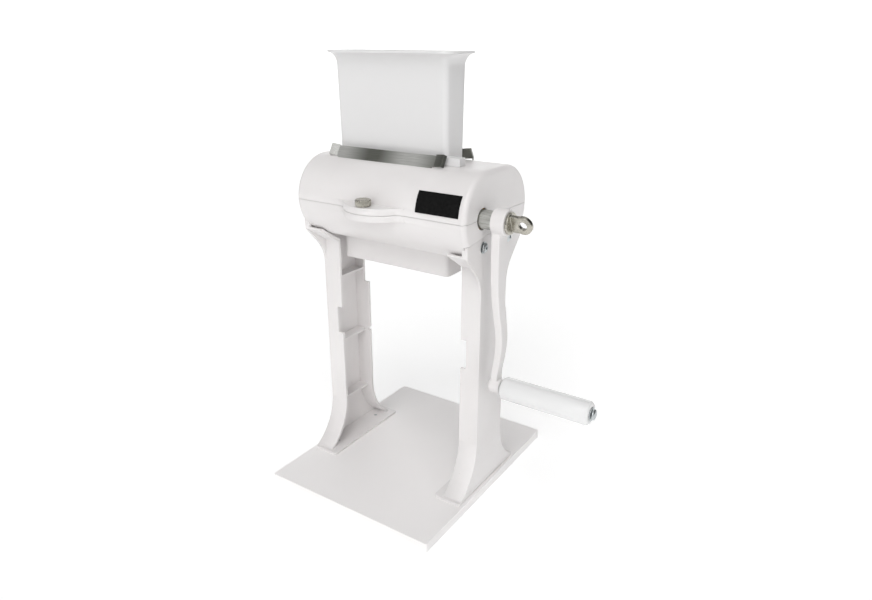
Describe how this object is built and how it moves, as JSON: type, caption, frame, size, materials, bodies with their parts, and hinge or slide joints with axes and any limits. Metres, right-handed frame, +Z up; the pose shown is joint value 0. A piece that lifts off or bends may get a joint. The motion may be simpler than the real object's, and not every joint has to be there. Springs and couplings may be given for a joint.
{
  "type": "hand-cranked meat cuber",
  "caption": "Table-top meat cuber with a feed hopper, two geared blade rollers in a clamshell casing, cast legs on a board and a side crank.",
  "frame": {"origin": "centre of the board's underside", "axes": "+Z up, +X towards the crank, -Y towards the front with the closing screw"},
  "size_m": [0.4042, 0.305, 0.5584],
  "materials": {
    "cast_white": "gloss white powder coat on cast aluminium",
    "board_white": "satin white plastic board",
    "hopper_white": "gloss white moulded plastic",
    "grip_white": "gloss white moulded plastic",
    "stainless": "brushed stainless sheet and bar",
    "nickel": "nickel plated, lightly polished",
    "zinc": "zinc plated fasteners",
    "gear_steel": "oiled machined steel",
    "spring_steel": "dark spring steel",
    "bronze": "sintered bronze",
    "plate_black": "plain black label"
  },
  "bodies": {
    "base": {"base_board": "board_white", "foot_screws": "zinc", "leg_left": "cast_white", "leg_right": "cast_white", "leg_bolts": "zinc", "leg_washers": "zinc", "lower_casing": "cast_white", "hinge_pin": "zinc", "left_bushings": "bronze", "right_bushings": "bronze", "drive_bushing": "bronze"},
    "lid": {"upper_casing": "cast_white", "name_plate": "plate_black"},
    "lid_screw": {"closing_screw": "nickel"},
    "feed_hopper": {"hopper": "hopper_white"},
    "comb_front": {"front_comb": "stainless"},
    "comb_rear": {"rear_comb": "stainless"},
    "drive_roller": {"drive_shaft": "stainless", "front_blades": "stainless", "front_spacers": "stainless", "drive_gear": "gear_steel", "drive_gear_key": "gear_steel", "drive_shaft_clip": "spring_steel", "crank_arm": "cast_white", "grip_spindle": "zinc", "grip_washers": "zinc"},
    "arm_screw": {"crank_screw": "nickel"},
    "grip_sleeve": {"grip": "grip_white"},
    "rear_roller": {"rear_shaft": "stainless", "rear_blades": "stainless", "rear_spacers": "stainless", "rear_gear": "gear_steel", "rear_gear_key": "gear_steel", "rear_shaft_clips": "spring_steel"}
  },
  "joints": [
    {"name": "crank_turn", "type": "hinge", "parent": "base", "child": "drive_roller", "pos_m": [0, -0.0345, 0.382], "axis": [1, 0, 0], "continuous": true},
    {"name": "rear_roller_turn", "type": "hinge", "parent": "base", "child": "rear_roller", "pos_m": [0, 0.0345, 0.382], "axis": [1, 0, 0], "continuous": true},
    {"name": "grip_turn", "type": "hinge", "parent": "drive_roller", "child": "grip_sleeve", "pos_m": [0.215, -0.0345, 0.179], "axis": [1, 0, 0], "continuous": true},
    {"name": "crank_screw_turn", "type": "hinge", "parent": "drive_roller", "child": "arm_screw", "pos_m": [0.16, -0.0345, 0.382], "axis": [1, 0, 0], "continuous": true},
    {"name": "lid_hinge", "type": "hinge", "parent": "base", "child": "lid", "pos_m": [-0.005, 0.084, 0.382], "axis": [-1, 0, 0], "range_deg": [0, 110]},
    {"name": "closing_screw_turn", "type": "hinge", "parent": "lid", "child": "lid_screw", "pos_m": [-0.005, -0.0875, 0.39], "axis": [0, 0, 1], "continuous": true},
    {"name": "hopper_lift", "type": "slide", "parent": "lid", "child": "feed_hopper", "axis": [0, 0, 1], "range_m": [0, 0.06]},
    {"name": "front_comb_lift", "type": "slide", "parent": "lid", "child": "comb_front", "axis": [0, 0.5, 0.866], "range_m": [0, 0.006]},
    {"name": "rear_comb_lift", "type": "slide", "parent": "lid", "child": "comb_rear", "axis": [0, -0.5, 0.866], "range_m": [0, 0.006]}
  ],
  "couplings": [
    {"joint": "rear_roller_turn", "follows": "crank_turn", "ratio": -1}
  ]
}
